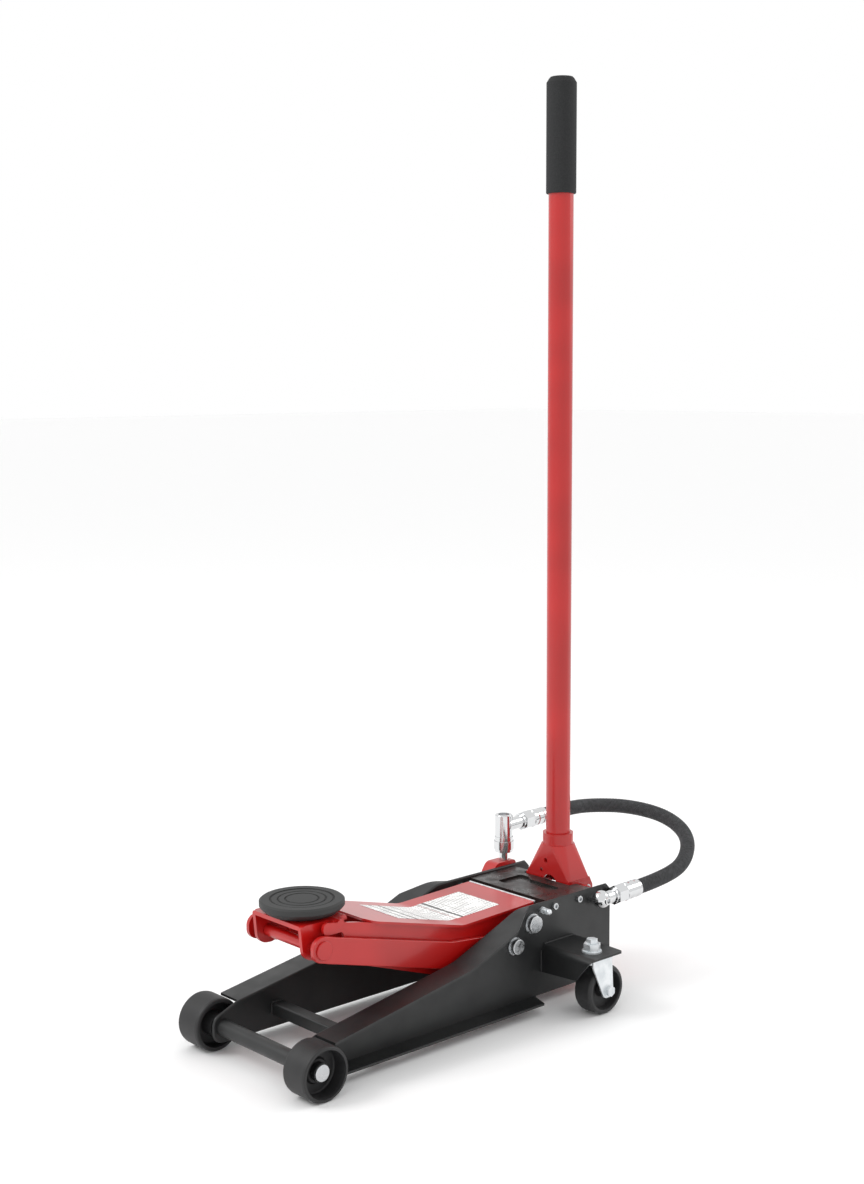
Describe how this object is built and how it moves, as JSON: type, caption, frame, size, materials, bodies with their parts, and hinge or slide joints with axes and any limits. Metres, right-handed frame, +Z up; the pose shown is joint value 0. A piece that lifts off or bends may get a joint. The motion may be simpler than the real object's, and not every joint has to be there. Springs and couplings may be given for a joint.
{
  "type": "hydraulic trolley jack",
  "caption": "Low trolley jack with side frames, a saddle on a levelling lift arm, upright pump handle, rollers, casters and a looped outside pressure hose.",
  "frame": {"origin": "on the floor, under the middle of the jack's box without its hose", "axes": "+Z up, +X to the jack's right side seen from the saddle end looking at the handle's right hand, -Y towards the saddle, +Y towards the handle"},
  "size_m": [0.322, 0.7546, 1.167],
  "materials": {
    "frame_black": "satin",
    "red_paint": "gloss",
    "bright_steel": "brushed",
    "zinc_plate": "satin",
    "chrome_fitting": "polished",
    "spring_steel": "satin",
    "black_steel": "satin",
    "wheel_plastic": "matte",
    "grip_foam": "matte",
    "pad_rubber": "matte",
    "hose_braid": "matte"
  },
  "bodies": {
    "frame": {"side_plate_right": "frame_black", "side_plate_left": "frame_black", "cross_tie": "frame_black", "front_axle": "bright_steel", "axle_tube": "frame_black", "axle_washers": "bright_steel", "rear_cover": "frame_black", "cover_screws": "bright_steel", "grease_nipples": "zinc_plate", "arm_shaft": "bright_steel", "link_bolts": "bright_steel", "pivot_washers": "bright_steel", "pump_block": "red_paint", "block_bolts": "bright_steel", "ram_cylinder": "bright_steel", "gland_nut": "bright_steel", "reservoir": "black_steel", "filler_plug": "pad_rubber", "spring_posts": "bright_steel", "return_springs": "spring_steel", "plunger_spring": "spring_steel", "socket_bolts": "bright_steel", "pressure_hose": "hose_braid", "hose_ferrules": "chrome_fitting", "hose_fitting_right": "chrome_fitting", "hose_tee_left": "chrome_fitting", "valve_bracket": "red_paint", "caster_bracket_right": "frame_black", "caster_bracket_left": "frame_black", "king_pin_right": "zinc_plate", "king_pin_left": "zinc_plate"},
    "lift_arm": {"arm_webs": "red_paint", "arm_cover": "red_paint", "arm_pivot_tube": "red_paint", "arm_levers": "red_paint", "lever_pin": "bright_steel"},
    "links": {"link_right": "red_paint", "link_left": "red_paint", "link_shaft": "red_paint"},
    "carrier": {"saddle_carrier": "red_paint"},
    "saddle": {"saddle_plate": "bright_steel", "saddle_pad": "pad_rubber", "saddle_clip": "bright_steel"},
    "ram": {"ram_rod": "bright_steel", "ram_yoke": "bright_steel"},
    "socket": {"handle_socket": "red_paint", "pump_roller": "bright_steel"},
    "handle": {"handle_tube": "red_paint", "handle_grip": "grip_foam"},
    "plunger": {"pump_plunger": "bright_steel"},
    "valve": {"release_valve": "bright_steel"},
    "front_wheel_right": {"front_wheel_right": "wheel_plastic"},
    "caster_right": {"caster_fork_right": "zinc_plate", "caster_axle_right": "zinc_plate"},
    "caster_wheel_right": {"caster_wheel_right": "wheel_plastic"},
    "front_wheel_left": {"front_wheel_left": "wheel_plastic"},
    "caster_left": {"caster_fork_left": "zinc_plate", "caster_axle_left": "zinc_plate"},
    "caster_wheel_left": {"caster_wheel_left": "wheel_plastic"}
  },
  "joints": [
    {"name": "arm_lift", "type": "hinge", "parent": "frame", "child": "lift_arm", "pos_m": [0, 0.121, 0.1125], "axis": [-1, 0, 0], "range_deg": [-9, 47], "deforming": ["return_springs"]},
    {"name": "link_swing", "type": "hinge", "parent": "frame", "child": "links", "pos_m": [0, 0.09, 0.0905], "axis": [-1, 0, 0], "range_deg": [-9.5, 47.5]},
    {"name": "carrier_level", "type": "hinge", "parent": "lift_arm", "child": "carrier", "pos_m": [0, -0.172, 0.171], "axis": [1, 0, 0], "range_deg": [-9.5, 47.5]},
    {"name": "saddle_turn", "type": "hinge", "parent": "carrier", "child": "saddle", "pos_m": [0, -0.184, 0.176], "axis": [0, 0, 1], "continuous": true},
    {"name": "ram_slide", "type": "slide", "parent": "frame", "child": "ram", "axis": [0, -1, 0], "range_m": [-0.008, 0.04]},
    {"name": "handle_pump", "type": "hinge", "parent": "frame", "child": "socket", "pos_m": [0, 0.247, 0.112], "axis": [-1, 0, 0], "range_deg": [0, 60], "deforming": ["plunger_spring"]},
    {"name": "handle_twist", "type": "hinge", "parent": "socket", "child": "handle", "pos_m": [0, 0.247, 0.2], "axis": [0, 0, 1], "range_deg": [0, 120]},
    {"name": "plunger_slide", "type": "slide", "parent": "frame", "child": "plunger", "axis": [0, 0, -1], "range_m": [0, 0.0202]},
    {"name": "valve_turn", "type": "hinge", "parent": "frame", "child": "valve", "pos_m": [0, 0.247, 0.09], "axis": [0, 0, 1], "range_deg": [-0.5, 120.5]},
    {"name": "front_wheel_right_spin", "type": "hinge", "parent": "frame", "child": "front_wheel_right", "pos_m": [0.1, -0.247, 0.032], "axis": [1, 0, 0], "continuous": true},
    {"name": "caster_right_swivel", "type": "hinge", "parent": "frame", "child": "caster_right", "pos_m": [0.136, 0.166, 0.07], "axis": [0, 0, 1], "range_deg": [-100, 100]},
    {"name": "caster_wheel_right_spin", "type": "hinge", "parent": "caster_right", "child": "caster_wheel_right", "pos_m": [0.136, 0.179, 0.0314], "axis": [1, 0, 0], "continuous": true},
    {"name": "front_wheel_left_spin", "type": "hinge", "parent": "frame", "child": "front_wheel_left", "pos_m": [-0.1, -0.247, 0.032], "axis": [1, 0, 0], "continuous": true},
    {"name": "caster_left_swivel", "type": "hinge", "parent": "frame", "child": "caster_left", "pos_m": [-0.136, 0.166, 0.07], "axis": [0, 0, 1], "range_deg": [-100, 100]},
    {"name": "caster_wheel_left_spin", "type": "hinge", "parent": "caster_left", "child": "caster_wheel_left", "pos_m": [-0.136, 0.179, 0.0314], "axis": [1, 0, 0], "continuous": true}
  ],
  "couplings": [
    {"joint": "link_swing", "follows": "arm_lift", "ratio": 1},
    {"joint": "carrier_level", "follows": "arm_lift", "ratio": 1},
    {"joint": "ram_slide", "follows": "arm_lift", "m_per_rad": 0.0481},
    {"joint": "plunger_slide", "follows": "handle_pump", "m_per_rad": 0.0191},
    {"joint": "valve_turn", "follows": "handle_twist", "ratio": 1}
  ]
}
